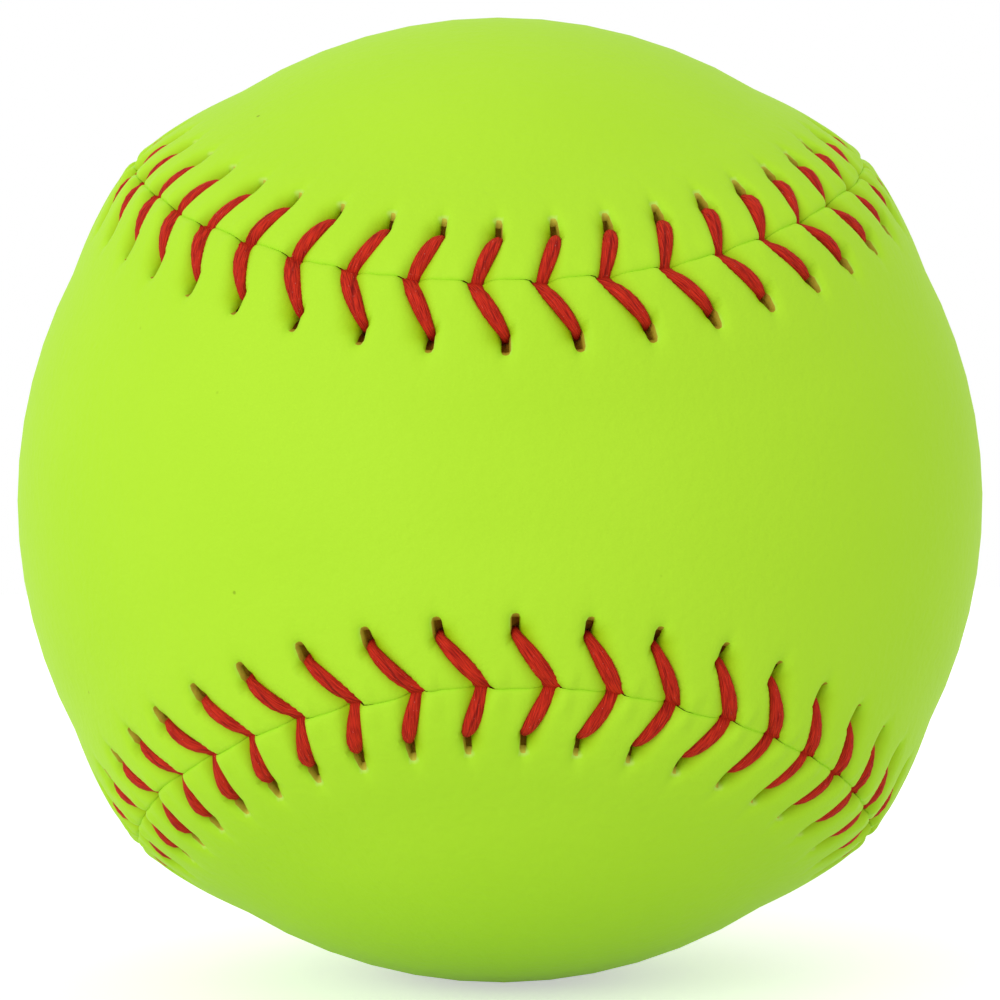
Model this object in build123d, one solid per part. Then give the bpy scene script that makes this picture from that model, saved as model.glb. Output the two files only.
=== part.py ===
from build123d import *
import os
from bisect import bisect_right
from math import cos, pi, radians, sin, sqrt, tan

# Softball of the 11 inch class: a foam core, a cement film, two figure-eight
# cover panels (a facing on a backing) and the two strands of the raised lacing.
# The origin is the centre of the ball. +Z is up, and the waist of the front
# panel looks towards -Y with its two lobes at +X and -X.

# Ball and cover
BALL_CIRCUMFERENCE = 279.4      # around the plain cover, clear of the raised seam
PANEL_WAIST = 30.8              # narrowest width of a panel, along the cover
FACING_THICKNESS = 0.6          # coloured outer layer of the cover
BACKING_THICKNESS = 1.2         # felted inner layer of the cover
CEMENT_THICKNESS = 0.2          # film that holds the cover to the core
BOND_GAP = 0.02                 # glue line between two bonded layers

# Raised seam
SEAM_GAP = 0.3                  # between the butted edges of the two panels
SEAM_REACH = 11.5               # distance from the seam over which the cover lifts

# Lacing
STITCH_COUNT = 100              # V stitches around the seam, evenly spaced
THREAD_DIAMETER = 0.95
THREAD_CLEARANCE = 0.06         # around the thread where it lies on or in the cover
THREAD_BEND = 0.6               # bend radius of the thread's axis at holes and seam
THREAD_CROWN = 6.0              # bend radius of the thread's axis along its run
HOLE_SETBACK = 4.2              # from the seam to the thread's axis in its hole
HOLE_SLACK = 1.1                # open end of the hole behind the thread
HOLE_MARGIN = 0.6               # level cover left before and beyond the hole
FRONT_LEAN = 2.5                # advance of a front leg from its hole to the seam
REAR_LEAN = 1.3                 # advance of a rear leg from its hole to the seam
RELIEF_EASE = 0.7               # length over which the panel edge bows round a dive

# Resolution of the drawn curves
SEAM_STEPS = 4000
LOOP_STEPS = 2
RELIEF_STEPS = 12
ARC_STEPS = 6
SLOPE_ROWS = 5

# Depths of the layers below the cover's surface, and the radii under the cover
ball_radius = BALL_CIRCUMFERENCE / (2 * pi)
backing_outer = FACING_THICKNESS + BOND_GAP
backing_inner = backing_outer + BACKING_THICKNESS
cement_radius = ball_radius - backing_inner - BOND_GAP
core_radius = cement_radius - CEMENT_THICKNESS - BOND_GAP

# The seam is the closed curve on a sphere whose two congruent halves have this waist
seam_minor = (1 - sin(PANEL_WAIST / (2 * ball_radius))) / 2
seam_major = 1 - seam_minor
seam_swing = 2 * sqrt(seam_major * seam_minor)

# The lacing runs under the panel edges and lifts them by its own thickness
thread_radius = THREAD_DIAMETER / 2
thread_stand = thread_radius + THREAD_CLEARANCE
seam_lift = 2 * thread_stand
level_radius = ball_radius + seam_lift
hole_near = HOLE_SETBACK - THREAD_BEND
hole_far = HOLE_SETBACK + thread_radius + HOLE_SLACK
level_near = hole_near - HOLE_MARGIN
level_far = hole_far + HOLE_MARGIN


def seam_direction(turn):
    x = -(seam_major * sin(turn) + seam_minor * sin(3 * turn))
    y = -seam_swing * cos(2 * turn)
    z = seam_major * cos(turn) - seam_minor * cos(3 * turn)
    return Vector(x, y, z)


def seam_pace(turn):
    x = -(seam_major * cos(turn) + 3 * seam_minor * cos(3 * turn))
    y = 2 * seam_swing * sin(2 * turn)
    z = 3 * seam_minor * sin(3 * turn) - seam_major * sin(turn)
    return Vector(x, y, z)


# Lengths along the seam, to space the stitches evenly
step_turn = 2 * pi / SEAM_STEPS
seam_lengths = [0.0]
for step in range(SEAM_STEPS):
    step_length = seam_pace((step + 0.5) * step_turn).length * step_turn * ball_radius
    seam_lengths.append(seam_lengths[-1] + step_length)
seam_length = seam_lengths[-1]
stitch_pitch = seam_length / STITCH_COUNT


# The direction from the centre to a place along and across the seam; across is
# positive on the front panel and negative on the rear panel, and shift is a true
# distance along the cover from there
def seam_place(along, across, shift=0):
    along = along % seam_length
    step = min(bisect_right(seam_lengths, along), SEAM_STEPS) - 1
    share = (along - seam_lengths[step]) / (seam_lengths[step + 1] - seam_lengths[step])
    turn = (step + share) * step_turn
    direction = seam_direction(turn)
    heading = seam_pace(turn).normalized()
    angle = across / ball_radius
    place = direction * cos(angle) + direction.cross(heading) * sin(angle)
    return place * cos(shift / ball_radius) + heading * sin(shift / ball_radius)


# A closed line that keeps one distance from the seam, starting between two stitches
def seam_loop(across, radius):
    points = []
    for step in range(STITCH_COUNT * LOOP_STEPS):
        along = (step / LOOP_STEPS - 0.5) * stitch_pitch
        points.append(seam_place(along, across) * radius)
    return Edge.make_spline(points, periodic=True)


# The panel edges bow apart where the two strands of a stitch dive between them
dive_middle = (FRONT_LEAN + REAR_LEAN) / 2
relief_half = abs(FRONT_LEAN - REAR_LEAN) / 2 + thread_stand


def edge_offset(along):
    from_dive = (along - dive_middle + stitch_pitch / 2) % stitch_pitch - stitch_pitch / 2
    ease = min(max((abs(from_dive) - relief_half) / RELIEF_EASE, 0), 1)
    opening = (1 + cos(pi * ease)) / 2
    return SEAM_GAP / 2 + (THREAD_BEND - SEAM_GAP / 2) * opening


# The lines of one stitch's cell of a panel, as directions from the centre: the
# bowed panel edge, the sides of the cell and the sides of its hole
def cell_lines(stitch, side):
    middle = stitch * stitch_pitch
    start = middle - stitch_pitch / 2
    end = middle + stitch_pitch / 2
    edge = []
    for step in range(RELIEF_STEPS + 1):
        along = start + stitch_pitch * step / RELIEF_STEPS
        edge.append(seam_place(along, side * edge_offset(along)))
    near = []
    for step in range(LOOP_STEPS + 1):
        along = start + stitch_pitch * step / LOOP_STEPS
        near.append(seam_place(along, side * level_near))
    hole_near_end = []
    hole_far_end = []
    for step in range(ARC_STEPS + 1):
        turn = pi * step / ARC_STEPS
        shift = -thread_stand * cos(turn)
        setback = thread_stand * (1 - sin(turn))
        hole_near_end.append(seam_place(middle, side * (hole_near + setback), shift))
        hole_far_end.append(seam_place(middle, side * (hole_far - setback), shift))
    rows = (level_near, (level_near + level_far) / 2, level_far)
    return {
        "edge": edge,
        "near": near,
        "left": [seam_place(start, side * across) for across in rows],
        "right": [seam_place(end, side * across) for across in rows],
        "hole near": hole_near_end,
        "hole far": hole_far_end,
        "hole left": [hole_near_end[0], hole_far_end[0]],
        "hole right": [hole_near_end[-1], hole_far_end[-1]],
    }


def drawn(directions, radius):
    return Edge.make_spline([direction * radius for direction in directions])


def ruled(first, second):
    return Face.make_surface_from_curves(first, second)


# The plain part of a panel; the sphere is turned so that its own edge lies on the
# other panel
def plain_face(side, radius, border):
    if side > 0:
        plane = Plane(origin=(0, 0, 0), x_dir=(0, 1, 0), z_dir=(0, 0, 1))
    else:
        plane = Plane(origin=(0, 0, 0), x_dir=(0, -1, 0), z_dir=(1, 0, 0))
    return Solid.make_sphere(radius, plane).face().split_by_perimeter(border, Keep.INSIDE)


# One surface of a panel: level round the stitches, then sloping to the plain ball
def panel_surface(side, depth, cells):
    radius = level_radius - depth
    loops = []
    for row in range(SLOPE_ROWS + 1):
        share = row / SLOPE_ROWS
        across = level_far + (SEAM_REACH - level_far) * share
        drop = seam_lift * share ** 2 * (3 - 2 * share)
        loops.append(seam_loop(side * across, radius - drop))
    faces = [plain_face(side, ball_radius - depth, loops[-1])]
    for upper, lower in zip(loops, loops[1:]):
        faces.append(ruled(upper, lower))
    edges_of_cells = []
    for stitch, lines in enumerate(cells):
        edges = {name: drawn(line, radius) for name, line in lines.items()}
        far_start = lines["left"][-1] * radius if stitch > 0 else 0.0
        far_end = lines["right"][-1] * radius if stitch < STITCH_COUNT - 1 else 1.0
        far = loops[0].trim(far_start, far_end)
        faces.append(ruled(edges["edge"], edges["near"]))
        faces.append(ruled(edges["near"], edges["hole near"]))
        faces.append(ruled(edges["hole far"], far))
        faces.append(ruled(edges["left"], edges["hole left"]))
        faces.append(ruled(edges["hole right"], edges["right"]))
        edges_of_cells.append(edges)
    return faces, edges_of_cells


# One layer of a panel, between two depths below the cover's surface, with the
# walls of its edge and of its stitch holes
def panel_layer(side, outer_depth, inner_depth):
    cells = [cell_lines(stitch, side) for stitch in range(STITCH_COUNT)]
    outer_faces, outer_edges = panel_surface(side, outer_depth, cells)
    inner_faces, inner_edges = panel_surface(side, inner_depth, cells)
    faces = outer_faces + inner_faces
    for outer, inner in zip(outer_edges, inner_edges):
        for name in ("edge", "hole near", "hole far", "hole left", "hole right"):
            faces.append(ruled(outer[name], inner[name]))
    return Solid(Shell(faces))


# A line through corner points, each corner rounded by its own radius
def bent_line(points, bends):
    edges = []
    start = points[0]
    for before, corner, after, bend in zip(points, points[1:], points[2:], bends):
        arriving = (corner - before).normalized()
        leaving = (after - corner).normalized()
        reach = bend * tan(radians(arriving.get_angle(leaving)) / 2)
        bend_start = corner - arriving * reach
        bend_end = corner + leaving * reach
        edges.append(Edge.make_line(start, bend_start))
        edges.append(Edge.make_tangent_arc(bend_start, arriving, bend_end))
        start = bend_end
    edges.append(Edge.make_line(start, points[-1]))
    return Wire(edges)


# One strand of the lacing: up through a hole, over the cover to the seam, down
# between the edges, under the other panel and up through its next hole
def strand(side):
    over = level_radius + thread_stand
    under = cement_radius + thread_stand
    hole_middle = level_radius - backing_inner / 2
    points = [seam_place(0, side * HOLE_SETBACK) * (hole_middle + THREAD_CLEARANCE)]
    bends = []
    for stitch in range(STITCH_COUNT):
        hole = stitch * stitch_pitch
        dive = hole + (FRONT_LEAN if side > 0 else REAR_LEAN)
        next_hole = hole + stitch_pitch
        points.append(seam_place(hole, side * HOLE_SETBACK) * over)
        points.append(seam_place((hole + dive) / 2, side * HOLE_SETBACK / 2) * over)
        points.append(seam_place(dive, 0) * over)
        side = -side
        points.append(seam_place(dive, 0) * under)
        points.append(seam_place((dive + next_hole) / 2, side * HOLE_SETBACK / 2) * under)
        points.append(seam_place(next_hole, side * HOLE_SETBACK) * under)
        bends += [THREAD_BEND, THREAD_CROWN, THREAD_BEND] * 2
    points.append(seam_place(seam_length, side * HOLE_SETBACK) * (hole_middle - THREAD_CLEARANCE))
    path = bent_line(points, bends)
    section = Plane(origin=path @ 0, z_dir=path % 0) * Circle(thread_radius)
    return Solid.sweep(section.face(), path)


cement_film = Solid.make_sphere(cement_radius) - Solid.make_sphere(cement_radius - CEMENT_THICKNESS)

pieces = {
    "core": Solid.make_sphere(core_radius),
    "cement_film": cement_film,
    "front_backing": panel_layer(1, backing_outer, backing_inner),
    "rear_backing": panel_layer(-1, backing_outer, backing_inner),
    "front_facing": panel_layer(1, 0, FACING_THICKNESS),
    "rear_facing": panel_layer(-1, 0, FACING_THICKNESS),
    "lacing_first": strand(1),
    "lacing_second": strand(-1),
}

os.makedirs("parts", exist_ok=True)
for node, piece in pieces.items():
    export_step(piece, f"parts/{node}.step", write_pcurves=False)
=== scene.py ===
import math
import random

import bpy
import numpy as np
from mathutils import Matrix, Vector


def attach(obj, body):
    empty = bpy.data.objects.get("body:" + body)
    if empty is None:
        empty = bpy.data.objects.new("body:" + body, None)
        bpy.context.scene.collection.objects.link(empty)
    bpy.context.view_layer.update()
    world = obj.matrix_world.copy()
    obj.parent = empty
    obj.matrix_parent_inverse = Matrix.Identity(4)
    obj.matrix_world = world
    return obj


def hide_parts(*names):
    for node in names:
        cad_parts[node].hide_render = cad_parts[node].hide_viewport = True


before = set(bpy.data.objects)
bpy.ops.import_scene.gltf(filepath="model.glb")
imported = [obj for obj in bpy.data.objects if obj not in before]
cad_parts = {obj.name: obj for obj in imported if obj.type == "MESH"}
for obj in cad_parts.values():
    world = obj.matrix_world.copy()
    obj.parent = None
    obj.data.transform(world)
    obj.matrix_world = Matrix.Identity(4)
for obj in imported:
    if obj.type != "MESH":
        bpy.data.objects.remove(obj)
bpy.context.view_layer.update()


# Core: the solid foam ball in the middle, poured in a round mould. The cover
# closes it in on all sides, and it stays the plain CAD ball with its own foam.
def plain_shader(name, roughness, specular):
    material = bpy.data.materials.new(name)
    material.use_nodes = True
    shader = material.node_tree.nodes["Principled BSDF"]
    shader.inputs["Roughness"].default_value = roughness
    shader.inputs["Specular IOR Level"].default_value = specular
    return material, material.node_tree.nodes, material.node_tree.links, shader


def make_mottle():
    """Two colours clouded into each other, and the height of the same clouds."""
    group = bpy.data.node_groups.new("mottle", "ShaderNodeTree")
    sockets = (("Light", "NodeSocketColor"), ("Dark", "NodeSocketColor"), ("Scale", "NodeSocketFloat"))
    for socket, kind in sockets:
        group.interface.new_socket(socket, in_out="INPUT", socket_type=kind)
    group.interface.new_socket("Color", in_out="OUTPUT", socket_type="NodeSocketColor")
    group.interface.new_socket("Height", in_out="OUTPUT", socket_type="NodeSocketFloat")
    inside = group.nodes.new("NodeGroupInput")
    outside = group.nodes.new("NodeGroupOutput")
    place = group.nodes.new("ShaderNodeTexCoord")
    clouds = group.nodes.new("ShaderNodeTexNoise")
    clouds.inputs["Detail"].default_value = 4.0
    mix = group.nodes.new("ShaderNodeMix")
    mix.data_type = "RGBA"
    group.links.new(place.outputs["Object"], clouds.inputs["Vector"])
    group.links.new(inside.outputs["Scale"], clouds.inputs["Scale"])
    group.links.new(clouds.outputs["Fac"], mix.inputs["Factor"])
    group.links.new(inside.outputs["Light"], mix.inputs["A"])
    group.links.new(inside.outputs["Dark"], mix.inputs["B"])
    group.links.new(mix.outputs["Result"], outside.inputs["Color"])
    group.links.new(clouds.outputs["Fac"], outside.inputs["Height"])
    return group


mottle = make_mottle()


def add_mottle(nodes, light, dark, scale):
    clouds = nodes.new("ShaderNodeGroup")
    clouds.node_tree = mottle
    clouds.inputs["Light"].default_value = (*light, 1)
    clouds.inputs["Dark"].default_value = (*dark, 1)
    clouds.inputs["Scale"].default_value = scale
    return clouds


def add_relief(nodes, links, shader, height, strength):
    relief = nodes.new("ShaderNodeBump")
    relief.inputs["Strength"].default_value = strength
    relief.inputs["Distance"].default_value = 0.0001
    links.new(height, relief.inputs["Height"])
    links.new(relief.outputs["Normal"], shader.inputs["Normal"])


def mottled(name, light, dark, scale, roughness, strength):
    material, nodes, links, shader = plain_shader(name, roughness, 0.2)
    clouds = add_mottle(nodes, light, dark, scale)
    links.new(clouds.outputs["Color"], shader.inputs["Base Color"])
    add_relief(nodes, links, shader, clouds.outputs["Height"], strength)
    return material


def finish_node(node, material):
    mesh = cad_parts[node].data
    mesh.materials.clear()
    mesh.materials.append(material)


finish_node("core", mottled("core_foam", (0.62, 0.5, 0.34), (0.42, 0.3, 0.17), 900.0, 0.85, 0.8))


# Cement film: the brown glue that is rolled on the core and holds the cover.
# It lies between core and backing, and stays the thin CAD shell.
finish_node("cement_film", mottled("cement", (0.3, 0.19, 0.07), (0.16, 0.09, 0.03), 600.0, 0.45, 0.5))


# Backings: the brown felted fibre layer of the two figure-eight panels, bonded
# under the facing and punched together with it. It shows in the stitch holes.
ball_radius = 0.2794 / (2 * math.pi)
panel_waist = 0.0308
seam_minor = (1 - math.sin(panel_waist / (2 * ball_radius))) / 2
seam_major = 1 - seam_minor
seam_swing = 2 * math.sqrt(seam_major * seam_minor)


def seam_direction(turn):
    x = -(seam_major * np.sin(turn) + seam_minor * np.sin(3 * turn))
    y = -seam_swing * np.cos(2 * turn)
    z = seam_major * np.cos(turn) - seam_minor * np.cos(3 * turn)
    return np.stack([x, y, z], axis=-1)


seam_turns = np.linspace(0.0, 2 * math.pi, 8001)
seam_steps = np.linalg.norm(np.diff(seam_direction(seam_turns), axis=0), axis=1)
seam_lengths = np.concatenate([[0.0], np.cumsum(seam_steps) * ball_radius])
seam_length = seam_lengths[-1]
stitches = 100
pitch = seam_length / stitches


def seam_turn(along):
    return np.interp(np.mod(along, seam_length), seam_lengths, seam_turns)


def seam_place(along, across, rise):
    """Points at a way along and across the seam, at a rise above the plain ball."""
    turn = seam_turn(along)
    point = seam_direction(turn)
    heading = seam_direction(turn + 1e-4) - seam_direction(turn - 1e-4)
    heading = heading / np.linalg.norm(heading, axis=-1, keepdims=True)
    angle = (across / ball_radius)[..., None]
    direction = point * np.cos(angle) + np.cross(point, heading) * np.sin(angle)
    return direction * (ball_radius + rise)[..., None]


# Every stitch is pulled by hand, so each one sits a little differently
hand = random.Random(40)
hole_slip = np.array([[hand.uniform(-0.12, 0.12) for _ in range(stitches)] for _ in range(2)]) * 1e-3
apex_slip = np.array([hand.uniform(-0.16, 0.16) for _ in range(stitches)]) * 1e-3
# and the needle gains a little on its way to the far side of the seam
gain = (1 - np.cos(2 * math.pi * np.arange(stitches) / stitches)) / 2 * 1e-3
hole_slip += np.stack([0.45 * gain, 0.5e-3 + 0.9 * gain])
apex_slip += 0.9 * gain
seam_sway = np.array([hand.uniform(-0.26, 0.2) for _ in range(stitches)]) * 1e-3
front_lean = 2.45e-3
rear_lean = 2.3e-3
leg_start = 4.0e-3
hole_inner = 3.65e-3
hole_outer = 5.72e-3
hole_half = 0.37e-3
seam_rise = 1.3e-3
seam_reach = 12.0e-3
# How far the tight threads press, swell and roll the cover
bed_depth = 0.86e-3
bed_end_depth = 0.3e-3
bed_dive_depth = 0.22e-3
bed_width = 0.74e-3
pillow_rise = 0.11e-3
apex_swell = 0.2e-3
furrow_depth = 0.46e-3
furrow_middle = 4.4e-3
edge_roll = 0.22e-3
slot_dish = 0.16e-3


def panel_rise(across):
    share = np.clip(across / seam_reach, 0.0, 1.0)
    return seam_rise * (1 - share ** 2) ** 1.5


def sway(along):
    """The seam line wanders a little to either side between two stitches."""
    place = along / pitch - 0.52
    stitch = np.floor(place).astype(int)
    return seam_sway[stitch % stitches] * np.sin(math.pi * (place - stitch))


def thread_bed(along, across, lean, slips, apexes):
    """How deep the tight thread sinks into the cover, deepest at its two ends."""
    stitch = np.round(along / pitch).astype(int)
    bed = np.zeros(along.shape)
    for step in (-1, 0, 1):
        number = (stitch + step) % stitches
        away = along - (stitch + step) * pitch - slips[number]
        run = lean + apexes[number] - slips[number]
        share = (away * run + (leg_start - across) * leg_start) / (run ** 2 + leg_start ** 2)
        share = np.clip(share, 0.0, 1.0)
        beside = away - share * run
        gap_square = beside ** 2 + (across - leg_start * (1 - share)) ** 2
        sunk = bed_depth + bed_end_depth * (2 * share - 1) ** 2 + bed_dive_depth * share ** 6
        # the cover swells over the thread on its open side and is pulled flat in the narrow corner
        width = bed_width * (1 + 0.42 * np.tanh(beside / 0.3e-3) * np.sign(run) * (1 - 2 * share))
        bed = np.maximum(bed, sunk * np.exp(-gap_square / width ** 2))
    return bed


def near_apex(along, lean, apexes, offset, spread):
    """1 at an offset past the place where the thread dives, falling to 0 on both sides."""
    stitch = np.round((along - lean) / pitch).astype(int)
    away = along - lean - offset * np.sign(lean) - stitch * pitch - apexes[stitch % stitches]
    return np.exp(-(away / spread) ** 2)


# Grid lines of one stitch along the seam and of the sewn band across it, in millimetres
columns = np.array([-0.37, -0.26, 0.0, 0.26, 0.37, 0.64, 1.02, 1.38,
                    1.74, 2.1, 2.46, 2.82, 3.18, 3.54, 3.9, 4.25])
rows = np.array([0.0, 0.08, 0.2, 0.4, 0.75, 1.2, 1.7, 2.2, 2.65, 3.05, 3.38,
                 3.65, 4.05, 4.45, 4.85, 5.3, 5.72, 6.1, 6.6, 7.3, 8.2, 9.4, 11.2])
plain_rows = 6


def cover_layer(name, side, depth, thickness, edge_gape, slot_depth, slot_open, surface, edge):
    """One layer of a panel, from a flat grid that is wrapped along the seam."""
    if side > 0:
        lean, slips, apexes, edge_sway = front_lean, hole_slip[0], apex_slip, sway
    else:
        turned = (-np.arange(stitches) - stitches // 4) % stitches
        lean, slips, apexes = -rear_lean, -hole_slip[1][turned], -apex_slip[turned]

        def edge_sway(along):
            return -sway(-along - seam_length / 4)

    bpy.ops.object.select_all(action="DESELECT")
    band_rows = len(rows) - 1
    along_count = stitches * len(columns)
    across_count = band_rows + plain_rows
    bpy.ops.mesh.primitive_grid_add(
        x_subdivisions=along_count, y_subdivisions=across_count, size=2, location=(0, 0, 0))
    piece = bpy.context.object
    piece.name = name
    mesh = piece.data
    mesh.name = name
    mesh.materials.append(surface)
    mesh.materials.append(edge)
    flat = np.empty(len(mesh.vertices) * 3)
    mesh.vertices.foreach_get("co", flat)
    flat = flat.reshape(-1, 3)
    column = np.round((flat[:, 0] + 1) / 2 * along_count).astype(int)
    row = np.round((flat[:, 1] + 1) / 2 * across_count).astype(int)
    sewn = row <= band_rows
    stitch = column // len(columns)
    local = columns[column % len(columns)] * 1e-3
    across = rows[np.minimum(row, band_rows)] * 1e-3

    # The square block of faces at each slot is rounded at its two ends
    hole_length = (hole_outer - hole_inner) / 2
    from_hole = np.where(local > pitch / 2, local - pitch, local)
    sideways = from_hole / hole_half
    lengthways = (across - (hole_inner + hole_outer) / 2) / hole_length
    size = np.maximum(np.abs(sideways), np.abs(lengthways))
    inside_slot = size < 0.999
    by_slot = size < 1.05
    ease = np.clip((2.6 - size) / 1.6, 0.0, 1.0)
    corner_side = sideways / np.maximum(size, 1.0)
    corner_length = np.abs(lengthways) / np.maximum(size, 1.0) * hole_length / hole_half
    corner_length = np.maximum(corner_length - hole_length / hole_half + 1, 0.0)
    local = local + corner_side * (np.sqrt(1 - corner_length ** 2 / 2) - 1) * hole_half * ease
    rounding = corner_length * (np.sqrt(1 - corner_side ** 2 / 2) - 1) * hole_half * ease
    across = across + np.sign(lengthways) * rounding
    follow = np.clip((local - 0.7e-3) / (pitch - 1.4e-3), 0.0, 1.0)
    slip = slips[stitch % stitches] * (1 - follow) + slips[(stitch + 1) % stitches] * follow
    along = stitch * pitch + local + slip

    # The edge follows the wandering seam and gives way to the diving threads
    wander = edge_sway(along)
    pushed = edge_gape * near_apex(along, lean, apexes, 0.15e-3, 0.5e-3)
    across = across + wander * np.exp(-across / 1.6e-3) + pushed * np.exp(-across / 0.5e-3)
    from_edge = np.maximum(across - wander - pushed, 0.0)

    # The raised band, pillowed between the threads and rolled over at its edge
    bed = thread_bed(along, across, lean, slips, apexes)
    reach = np.where(across > furrow_middle, 1.6e-3, 0.8e-3)
    furrow = furrow_depth * np.exp(-(from_hole / 0.66e-3) ** 2 - ((across - furrow_middle) / reach) ** 2)
    swell = near_apex(along, lean, apexes, 1.1e-3, 0.7e-3) * np.exp(-((across - 0.9e-3) / 0.9e-3) ** 2)
    pillow = np.exp(-((across - 2.4e-3) / 2.2e-3) ** 2)
    rise = panel_rise(across) + pillow_rise * pillow + apex_swell * swell
    rise -= np.maximum(bed, furrow)
    rise -= edge_roll * np.exp(-from_edge / 0.15e-3)
    rise -= slot_dish * np.clip((1.7 - size) / 0.7, 0.0, 1.0) ** 2
    rise -= slot_depth * inside_slot
    placed = seam_place(along, across, rise - depth)

    # Behind the band the plain rows run on to the panel's long middle line,
    # where both sides share their points
    border = seam_place(along, np.full(along.shape, rows[-1] * 1e-3), np.zeros(along.shape)) / ball_radius
    tip = seam_place(np.array([seam_length / 4]), rows[-1:] * 1e-3, np.zeros(1))[0]
    slot_column = list(columns).index(0.0)
    evenly = (column - slot_column) / along_count * seam_length
    longitude = (math.atan2(-tip[0], -tip[1]) - 0.34) * np.sin(seam_turn(evenly))
    middle = np.stack([-np.sin(longitude), -np.cos(longitude), np.zeros(len(along))], axis=1)
    share = np.clip((row - band_rows) / plain_rows, 0.0, 1.0)
    angle = np.arccos(np.sum(border * middle, axis=1))
    plain = border * np.sin((1 - share) * angle)[:, None] + middle * np.sin(share * angle)[:, None]
    plain_rise = panel_rise(rows[-1] * 1e-3) * (1 - share) ** 3 - depth
    plain = plain / np.sin(angle)[:, None] * (ball_radius + plain_rise)[:, None]
    placed = np.where(sewn[:, None], placed, plain)
    if side < 0:
        placed = np.stack([placed[:, 2], -placed[:, 1], placed[:, 0]], axis=1)
    mesh.vertices.foreach_set("co", placed.ravel())

    # Marks for the finish: the pale cut ends and pale wall of each slot, with painted light in the ends,
    # and painted shade on the cover under and beside the thread and in the slot walls
    # Pale cut fibre at the slot's outer end, partly painted light: the slot is painted darker towards the
    # thread's end
    frayed_and_painted_light = np.clip((lengthways + 0.1) / 1.1, 0.0, 1.0) ** 1.9 * by_slot
    outer_end = np.exp(-(from_hole / 0.3e-3) ** 2 - ((across - hole_outer) / 0.3e-3) ** 2)
    frayed_and_painted_light = np.maximum(frayed_and_painted_light, 0.6 * outer_end)
    pale_wall = 0.55 * np.clip(-sideways * side, 0.0, 1.0) ** 3
    pale_wall = pale_wall * np.clip(lengthways + 1, 0.0, 1.0) * by_slot
    # painted light: the front panel's slot ends are painted less pale than the rear panel's
    frayed_and_painted_light = np.maximum(frayed_and_painted_light * (0.3 if side > 0 else 1.0), pale_wall) * sewn
    mesh.attributes.new("frayed_and_painted_light", "FLOAT", "POINT").data.foreach_set("value", frayed_and_painted_light.astype(np.float32))
    # Painted shade: the cover is coloured darker where the thread presses it down and inside the slots
    painted_shade = np.maximum(np.clip(bed / 0.8e-3, 0.0, 1.0), inside_slot) * sewn
    mesh.attributes.new("painted_shade", "FLOAT", "POINT").data.foreach_set("value", painted_shade.astype(np.float32))

    # The slots show the cut material, but on one side the coated surface is pulled down over the wall
    corners = np.empty(len(mesh.loops), dtype=np.int32)
    mesh.loops.foreach_get("vertex_index", corners)
    corners = corners.reshape(-1, 4)
    cut = np.all(((size < 1.001) & sewn)[corners], axis=1)
    cut &= np.mean((sideways * side)[corners], axis=1) < 0.75
    mesh.polygons.foreach_set("material_index", cut.astype(np.int32))

    # The slots are opened where the layer is open, the band is closed to a ring, and the sheet gets its
    # thickness
    bpy.ops.object.mode_set(mode="EDIT")
    bpy.ops.mesh.select_mode(type="VERT")
    bpy.ops.mesh.select_all(action="DESELECT")
    bpy.ops.object.mode_set(mode="OBJECT")
    mesh.vertices.foreach_set("select", inside_slot & sewn)
    bpy.ops.object.mode_set(mode="EDIT")
    if slot_open:
        bpy.ops.mesh.select_mode(type="FACE")
        bpy.ops.mesh.delete(type="FACE")
        bpy.ops.mesh.select_mode(type="VERT")
    bpy.ops.mesh.select_all(action="SELECT")
    bpy.ops.mesh.remove_doubles(threshold=8e-6)
    bpy.ops.object.mode_set(mode="OBJECT")
    wall = piece.modifiers.new("wall", "SOLIDIFY")
    wall.thickness = thickness
    wall.offset = -1
    bpy.ops.object.modifier_apply(modifier="wall")
    bpy.ops.object.shade_smooth_by_angle(angle=math.radians(50))
    return piece


def cut_fibre(name, light, dark, ends):
    material, nodes, links, shader = plain_shader(name, 0.9, 0.1)
    clouds = add_mottle(nodes, light, dark, 2500.0)
    # the cut fibre turns pale towards the slot's outer end, part of it painted light
    frayed_and_painted_light = nodes.new("ShaderNodeAttribute")
    frayed_and_painted_light.attribute_name = "frayed_and_painted_light"
    ended = nodes.new("ShaderNodeMix")
    ended.data_type = "RGBA"
    ended.inputs["B"].default_value = (*ends, 1)
    links.new(frayed_and_painted_light.outputs["Fac"], ended.inputs["Factor"])
    links.new(clouds.outputs["Color"], ended.inputs["A"])
    links.new(ended.outputs["Result"], shader.inputs["Base Color"])
    add_relief(nodes, links, shader, clouds.outputs["Height"], 0.9)
    return material


felt_depth = 0.62e-3
felt_thickness = 0.7e-3
felt_gape = 0.05e-3
felt_slot_depth = 0.4e-3
felt = cut_fibre("cover_backing", (0.36, 0.13, 0.005), (0.17, 0.055, 0.002), (0.66, 0.5, 0.03))
for node, side in (("front_backing", 1), ("rear_backing", -1)):
    backing = cover_layer(f"{node}_felt", side, felt_depth, felt_thickness, felt_gape,
                          felt_slot_depth, False, felt, felt)
    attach(backing, "root")
    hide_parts(node)


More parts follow.
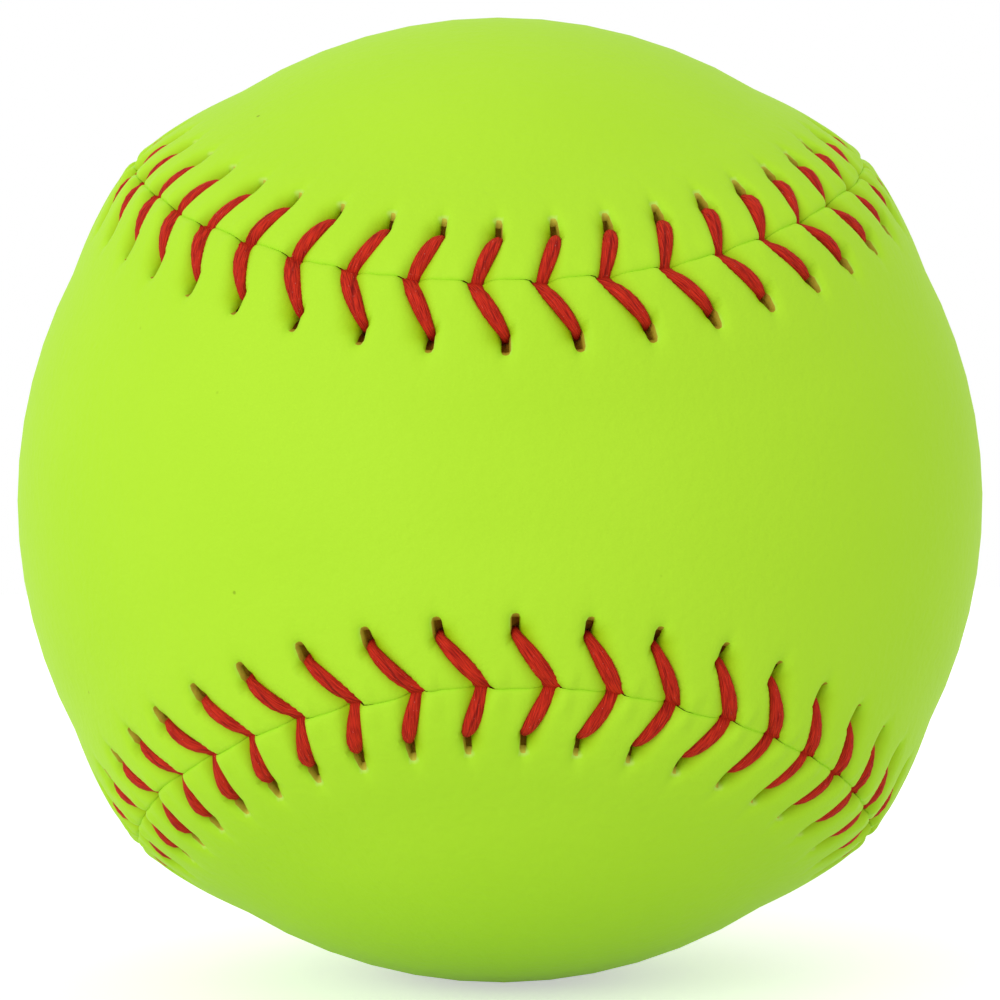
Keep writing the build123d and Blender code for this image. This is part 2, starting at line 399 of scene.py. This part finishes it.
# Facings: the smooth yellow-green outer layer of the two panels, fibre coated
# with coloured resin and die-cut with its backing. The lacing pulls the edges
# together into a raised seam, and the cover swells between the threads.
def coated_cover():
    material, nodes, links, shader = plain_shader("cover_facing", 0.55, 0.08)
    clouds = add_mottle(nodes, (0.49, 0.835, 0.036), (0.455, 0.8, 0.029), 70.0)
    # painted shade: a darker, greener cover under and beside the thread and down the slot walls
    painted_shade = nodes.new("ShaderNodeAttribute")
    painted_shade.attribute_name = "painted_shade"
    shade_painted = nodes.new("ShaderNodeMix")
    shade_painted.data_type = "RGBA"
    shade_painted.inputs["B"].default_value = (0.38, 0.62, 0.003, 1)
    links.new(painted_shade.outputs["Fac"], shade_painted.inputs["Factor"])
    links.new(clouds.outputs["Color"], shade_painted.inputs["A"])
    # a pale lip of the coating at the slots, partly painted light where it follows the painted pale slot
    # ends
    frayed_and_painted_light = nodes.new("ShaderNodeAttribute")
    frayed_and_painted_light.attribute_name = "frayed_and_painted_light"
    lip = nodes.new("ShaderNodeMapRange")
    lip.inputs["From Min"].default_value = 0.3
    lip.inputs["To Max"].default_value = 0.35
    links.new(frayed_and_painted_light.outputs["Fac"], lip.inputs["Value"])
    lipped = nodes.new("ShaderNodeMix")
    lipped.data_type = "RGBA"
    lipped.inputs["B"].default_value = (0.8, 0.88, 0.36, 1)
    links.new(lip.outputs["Result"], lipped.inputs["Factor"])
    links.new(shade_painted.outputs["Result"], lipped.inputs["A"])

    # a few pinholes and specks of dust pressed into the resin
    place = nodes.new("ShaderNodeTexCoord")
    specks = nodes.new("ShaderNodeTexVoronoi")
    specks.inputs["Scale"].default_value = 150.0
    links.new(place.outputs["Object"], specks.inputs["Vector"])
    spot = nodes.new("ShaderNodeMapRange")
    spot.inputs["From Min"].default_value = 0.03
    spot.inputs["From Max"].default_value = 0.012
    links.new(specks.outputs["Distance"], spot.inputs["Value"])
    some = nodes.new("ShaderNodeSeparateColor")
    links.new(specks.outputs["Color"], some.inputs["Color"])
    chosen = nodes.new("ShaderNodeMapRange")
    chosen.inputs["From Min"].default_value = 0.45
    chosen.inputs["To Max"].default_value = 0.8
    links.new(some.outputs["Red"], chosen.inputs["Value"])
    speck = nodes.new("ShaderNodeMath")
    speck.operation = "MULTIPLY"
    links.new(spot.outputs["Result"], speck.inputs[0])
    links.new(chosen.outputs["Result"], speck.inputs[1])
    specked = nodes.new("ShaderNodeMix")
    specked.data_type = "RGBA"
    specked.inputs["B"].default_value = (0.2, 0.3, 0.01, 1)
    links.new(speck.outputs["Value"], specked.inputs["Factor"])
    links.new(lipped.outputs["Result"], specked.inputs["A"])
    links.new(specked.outputs["Result"], shader.inputs["Base Color"])

    grain = nodes.new("ShaderNodeTexNoise")
    grain.inputs["Scale"].default_value = 1300.0
    grain.inputs["Detail"].default_value = 3.0
    links.new(place.outputs["Object"], grain.inputs["Vector"])
    dented = nodes.new("ShaderNodeMath")
    dented.operation = "SUBTRACT"
    links.new(grain.outputs["Fac"], dented.inputs[0])
    links.new(speck.outputs["Value"], dented.inputs[1])
    add_relief(nodes, links, shader, dented.outputs["Value"], 0.7)
    return material


facing_depth = 0.0
facing_thickness = 0.6e-3
facing_gape = 0.035e-3
facing_slot_depth = 0.5e-3
cover_finish = coated_cover()
cut_finish = cut_fibre("cover_facing_cut", (0.46, 0.27, 0.014), (0.28, 0.13, 0.004), (0.66, 0.58, 0.07))
for node, side in (("front_facing", 1), ("rear_facing", -1)):
    facing = cover_layer(f"{node}_cover", side, facing_depth, facing_thickness, facing_gape,
                         facing_slot_depth, True, cover_finish, cut_finish)
    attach(facing, "root")
    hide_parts(node)


# Lacing: two waxed red threads of many fine filaments, each with its own
# needle. They take turns to come up through a hole, cross to the seam, dive
# between the two edges and pass under the other panel to its next hole.
thread_sides = 16
leg_bow = np.array([[hand.uniform(-0.14, 0.14) for _ in range(stitches)] for _ in range(2)]) * 1e-3
leg_girth = np.array([[hand.uniform(0.85, 1.0) for _ in range(stitches)] for _ in range(2)])
leg_turn = np.array([[hand.uniform(-0.4, 0.4) for _ in range(stitches)] for _ in range(2)])
# how deep each leg's ply groove is, and how dark its painted shade
leg_groove_shade = np.array([[hand.uniform(0.2, 1.0) for _ in range(stitches)] for _ in range(2)])
ply_girth = np.array([[hand.uniform(0.96, 1.04) for _ in range(thread_sides)] for _ in range(stitches)])
# Rings of a leg: share of the way to the seam, rise, half width and half thickness in millimetres, tilt
front_leg = [
    (0.02, -0.86, 0.43, 0.36, -0.5),
    (0.11, -0.66, 0.52, 0.40, -0.45),
    (0.25, -0.47, 0.62, 0.43, -0.25),
    (0.41, -0.38, 0.69, 0.45, 0.0),
    (0.57, -0.38, 0.73, 0.46, 0.25),
    (0.72, -0.52, 0.77, 0.45, 0.45),
    (0.86, -0.80, 0.80, 0.42, 0.55),
    (0.97, -1.02, 0.80, 0.36, 0.5),
]
rear_leg = [
    (0.02, -0.82, 0.45, 0.36, -0.5),
    (0.09, -0.60, 0.60, 0.40, -0.45),
    (0.22, -0.43, 0.71, 0.44, -0.4),
    (0.38, -0.39, 0.73, 0.45, -0.2),
    (0.55, -0.44, 0.71, 0.44, 0.05),
    (0.72, -0.58, 0.68, 0.42, 0.3),
    (0.86, -0.84, 0.66, 0.40, 0.5),
    (0.97, -1.06, 0.64, 0.36, 0.5),
]
# Rings of a whole stitch: in the hole, on the cover, and in the seam and under the other panel
hole_rings = 2
under_rings = 4
ring_count = hole_rings + len(front_leg) + under_rings
leg_middle = hole_rings + (len(front_leg) - 1) / 2
# The thread is drawn out to a tail along the seam over the last of a front leg
tail_length = 0.95e-3
tail_start = 0.88
tail_share = 0.09


def thread_route(first_side):
    """The rings of one thread: place, rise, half sizes, sideways direction, skew, tail and tilt."""
    rings = []
    side = first_side
    for stitch in range(stitches):
        panel = 0 if side > 0 else 1
        hole = stitch * pitch + hole_slip[panel][stitch]
        apex = stitch * pitch + apex_slip[stitch] + (front_lean if side > 0 else rear_lean)
        next_hole = (stitch + 1) * pitch + hole_slip[1 - panel][(stitch + 1) % stitches]
        run = math.hypot(apex - hole, leg_start)
        sideways = (leg_start / run, (apex - hole) / run * side)
        slope = (apex - hole) / leg_start
        girth = leg_girth[panel][stitch]
        rings.append((hole, side * leg_start, -1.2e-3, 0.38, 0.38, sideways, 0.0, 0.0, 0.0))
        rings.append((hole, side * leg_start, -0.4e-3, 0.38, 0.36, sideways, 0.0, 0.0, 0.0))
        for share, rise, half_width, half_thickness, tilt in front_leg if side > 0 else rear_leg:
            along = hole + (apex - hole) * share + leg_bow[panel][stitch] * 4 * share * (1 - share)
            back = leg_start * (1 - share)
            rise = float(panel_rise(back)) + rise * 1e-3
            tail = tail_length * max(share - tail_start, 0.0) / tail_share if side > 0 else 0.0
            rings.append((along, side * back, rise, half_width * girth, half_thickness,
                          sideways, slope * share ** 2, tail, tilt))
        rings.append((apex, 0.0, -0.2e-3, 0.5, 0.34, sideways, slope * 0.7, 0.7e-3, 0.2))
        rings.append((apex, 0.0, -0.9e-3, 0.42, 0.4, sideways, 0.0, 0.0, 0.0))
        for share in (0.25, 0.75):
            along = apex + (next_hole - apex) * share
            rings.append((along, -side * leg_start * share, -1.3e-3, 0.45, 0.42, sideways, 0.0, 0.0, 0.0))
        side = -side
    return rings


def thread(name, first_side):
    """One thread all round the ball, from a flat grid rolled to a tube along its route."""
    rings = thread_route(first_side)
    bpy.ops.object.select_all(action="DESELECT")
    bpy.ops.mesh.primitive_grid_add(
        x_subdivisions=thread_sides, y_subdivisions=len(rings), size=2, location=(0, 0, 0))
    piece = bpy.context.object
    piece.name = name
    mesh = piece.data
    mesh.name = name
    flat = np.empty(len(mesh.vertices) * 3)
    mesh.vertices.foreach_get("co", flat)
    flat = flat.reshape(-1, 3)
    corner = np.round((flat[:, 0] + 1) / 2 * thread_sides).astype(int) % thread_sides
    ring = np.round((flat[:, 1] + 1) / 2 * len(rings)).astype(int) % len(rings)

    along, across, rise, half_width, half_thickness = np.array([entry[:5] for entry in rings]).T
    sideways = np.array([entry[5] for entry in rings])
    skew, tail, tilt = np.array([entry[6:] for entry in rings]).T
    centre = seam_place(along, across, rise)
    heading = np.roll(centre, -1, axis=0) - np.roll(centre, 1, axis=0)
    heading /= np.linalg.norm(heading, axis=1, keepdims=True)
    ahead = seam_place(along + 1e-5, across, rise) - centre
    ahead /= np.linalg.norm(ahead, axis=1, keepdims=True)
    outward = centre / np.linalg.norm(centre, axis=1, keepdims=True)
    lateral = ahead * sideways[:, :1] + np.cross(outward, ahead) * sideways[:, 1:]
    lateral -= heading * np.sum(lateral * heading, axis=1, keepdims=True)
    lateral /= np.linalg.norm(lateral, axis=1, keepdims=True)
    upright = np.cross(heading, lateral)
    leaning = tilt * np.sign(np.sum(upright * outward, axis=1))
    lateral = lateral * np.cos(leaning)[:, None] + upright * np.sin(leaning)[:, None]
    upright = np.cross(heading, lateral)

    # Two plies of filaments lie side by side with a slight twist, and end on the slanting seam line
    leg = ring // ring_count
    step = ring % ring_count
    panel = 0 if first_side > 0 else 1
    angle = 2 * math.pi * corner / thread_sides
    angle += 0.4 * np.sin(2 * math.pi * (step - leg_middle) / ring_count) + leg_turn[panel][leg]
    shown = np.clip(np.sin(math.pi * (step - hole_rings + 1) / (len(front_leg) + 2)), 0.0, 1.0)
    # The groove between the two plies is sunk a little and carries a painted shade line
    groove_shade = (corner % (thread_sides // 2) == thread_sides // 4) * leg_groove_shade[panel][leg] * shown
    ridge = ply_girth[leg, corner] * (1 - 0.16 * groove_shade) * 1e-3
    wide = half_width[ring] * np.cos(angle) * ridge
    thick = half_thickness[ring] * np.sin(angle) * ridge
    placed = centre[ring] + lateral[ring] * wide[:, None] + upright[ring] * thick[:, None]
    placed += heading[ring] * (wide * skew[ring])[:, None]
    trailing = ahead + 0.95 * outward - 0.14 * np.cross(outward, ahead)
    placed += trailing[ring] * (tail[ring] * np.clip(np.cos(angle), 0.0, 1.0) ** 3)[:, None]
    mesh.vertices.foreach_set("co", placed.ravel())
    mesh.attributes.new("groove_shade", "FLOAT", "POINT").data.foreach_set("value", groove_shade.astype(np.float32))
    lay = np.empty(len(mesh.loops) * 2)
    mesh.uv_layers.active.data.foreach_get("uv", lay)
    lay[0::2] += 0.044 * len(rings) * lay[1::2]
    mesh.uv_layers.active.data.foreach_set("uv", lay)

    bpy.ops.object.mode_set(mode="EDIT")
    bpy.ops.mesh.select_all(action="SELECT")
    bpy.ops.mesh.remove_doubles(threshold=1e-7)
    bpy.ops.object.mode_set(mode="OBJECT")
    bpy.ops.object.shade_smooth()
    return piece


def waxed_thread():
    material, nodes, links, shader = plain_shader("lacing_thread", 0.7, 0.12)
    lay = nodes.new("ShaderNodeUVMap")
    stretch = nodes.new("ShaderNodeMapping")
    stretch.inputs["Scale"].default_value = (60.0, 800.0, 1.0)
    links.new(lay.outputs["UV"], stretch.inputs["Vector"])
    filaments = nodes.new("ShaderNodeTexNoise")
    filaments.inputs["Scale"].default_value = 1.0
    filaments.inputs["Detail"].default_value = 2.0
    links.new(stretch.outputs["Vector"], filaments.inputs["Vector"])
    tones = nodes.new("ShaderNodeValToRGB")
    tones.color_ramp.elements[0].position = 0.34
    tones.color_ramp.elements[0].color = (0.27, 0.005, 0.003, 1)
    tones.color_ramp.elements[1].position = 0.6
    tones.color_ramp.elements[1].color = (0.68, 0.031, 0.011, 1)
    links.new(filaments.outputs["Fac"], tones.inputs["Fac"])
    # painted shade: a near-black line down the groove between the two plies
    groove_shade = nodes.new("ShaderNodeAttribute")
    groove_shade.attribute_name = "groove_shade"
    deep = nodes.new("ShaderNodeMapRange")
    deep.inputs["From Min"].default_value = 0.35
    deep.inputs["To Max"].default_value = 0.85
    links.new(groove_shade.outputs["Fac"], deep.inputs["Value"])
    ply_shaded = nodes.new("ShaderNodeMix")
    ply_shaded.data_type = "RGBA"
    ply_shaded.inputs["B"].default_value = (0.1, 0.002, 0.003, 1)
    links.new(deep.outputs["Result"], ply_shaded.inputs["Factor"])
    links.new(tones.outputs["Color"], ply_shaded.inputs["A"])

    # flecks where a broken filament end catches the light
    spread = nodes.new("ShaderNodeMapping")
    spread.inputs["Scale"].default_value = (60.0, 3600.0, 1.0)
    links.new(lay.outputs["UV"], spread.inputs["Vector"])
    ends = nodes.new("ShaderNodeTexNoise")
    ends.inputs["Scale"].default_value = 1.0
    links.new(spread.outputs["Vector"], ends.inputs["Vector"])
    fleck = nodes.new("ShaderNodeMapRange")
    fleck.inputs["From Min"].default_value = 0.7
    fleck.inputs["From Max"].default_value = 0.76
    fleck.inputs["To Max"].default_value = 0.7
    links.new(ends.outputs["Fac"], fleck.inputs["Value"])
    flecked = nodes.new("ShaderNodeMix")
    flecked.data_type = "RGBA"
    flecked.inputs["B"].default_value = (0.85, 0.4, 0.36, 1)
    links.new(fleck.outputs["Result"], flecked.inputs["Factor"])
    links.new(ply_shaded.outputs["Result"], flecked.inputs["A"])
    links.new(flecked.outputs["Result"], shader.inputs["Base Color"])
    add_relief(nodes, links, shader, filaments.outputs["Fac"], 0.6)
    return material


thread_finish = waxed_thread()
for node, first_side in (("lacing_first", 1), ("lacing_second", -1)):
    lacing = thread(f"{node}_thread", first_side)
    lacing.data.materials.append(thread_finish)
    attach(lacing, "root")
    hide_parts(node)


# Studio: a white floor under the ball, white surroundings, and one large soft
# lamp at the upper left in front of it.
def add_plain_view(nodes, links):
    """1 where the floor or the surroundings are seen, straight or in a surface; 0 where they only light."""
    path = nodes.new("ShaderNodeLightPath")
    mirrored = nodes.new("ShaderNodeMath")
    mirrored.use_clamp = True
    links.new(path.outputs["Is Glossy Ray"], mirrored.inputs[0])
    links.new(path.outputs["Is Transmission Ray"], mirrored.inputs[1])
    seen = nodes.new("ShaderNodeMath")
    seen.use_clamp = True
    links.new(path.outputs["Is Camera Ray"], seen.inputs[0])
    links.new(mirrored.outputs["Value"], seen.inputs[1])
    return seen.outputs["Value"]


bpy.ops.object.select_all(action="DESELECT")
bpy.ops.mesh.primitive_plane_add(size=6, location=(0, 0, -ball_radius))
floor = bpy.context.object
floor.name = "floor"
floor_finish, nodes, links, shader = plain_shader("floor", 0.9, 0.0)
shader.inputs["Base Color"].default_value = (0.9, 0.9, 0.9, 1)
shader.inputs["Emission Color"].default_value = (0.5, 0.5, 0.5, 1)
links.new(add_plain_view(nodes, links), shader.inputs["Emission Strength"])
floor.data.materials.append(floor_finish)

world = bpy.data.worlds.new("studio")
bpy.context.scene.world = world
world.use_nodes = True
nodes, links = world.node_tree.nodes, world.node_tree.links
surroundings = nodes["Background"]
surroundings.inputs["Color"].default_value = (1, 1, 1, 1)
level = nodes.new("ShaderNodeMapRange")
level.inputs["To Min"].default_value = 0.78
level.inputs["To Max"].default_value = 1.0
links.new(add_plain_view(nodes, links), level.inputs["Value"])
links.new(level.outputs["Result"], surroundings.inputs["Strength"])

lamp = bpy.data.lights.new("softbox", "AREA")
lamp.shape = "DISK"
lamp.size = 0.5
lamp.energy = 2.2
softbox = bpy.data.objects.new("softbox", lamp)
bpy.context.scene.collection.objects.link(softbox)
softbox.location = (-0.55, -0.7, 0.25)
softbox.rotation_euler = (-softbox.location).to_track_quat("-Z", "Y").to_euler()


# Camera: a long lens, level with the middle of the ball, near enough that the
# ball fills the frame. The ball lies a little turned from square, so the camera
# goes round it by the same small turn the other way.
ball_turn = Vector((-0.0271, -0.0071, 0.0110))
turned_back = Matrix.Rotation(-ball_turn.length, 3, ball_turn.normalized())
camera_distance = 5 * ball_radius
lens = bpy.data.cameras.new("camera")
lens.lens = 85.1
lens.sensor_width = 36
lens.clip_start = 0.01
camera = bpy.data.objects.new("camera", lens)
bpy.context.scene.collection.objects.link(camera)
camera.location = turned_back @ Vector((0, -camera_distance, 0))
camera.rotation_euler = (turned_back @ Matrix.Rotation(math.radians(90), 3, "X")).to_euler()
bpy.context.scene.camera = camera
bpy.context.scene.view_settings.view_transform = "Standard"
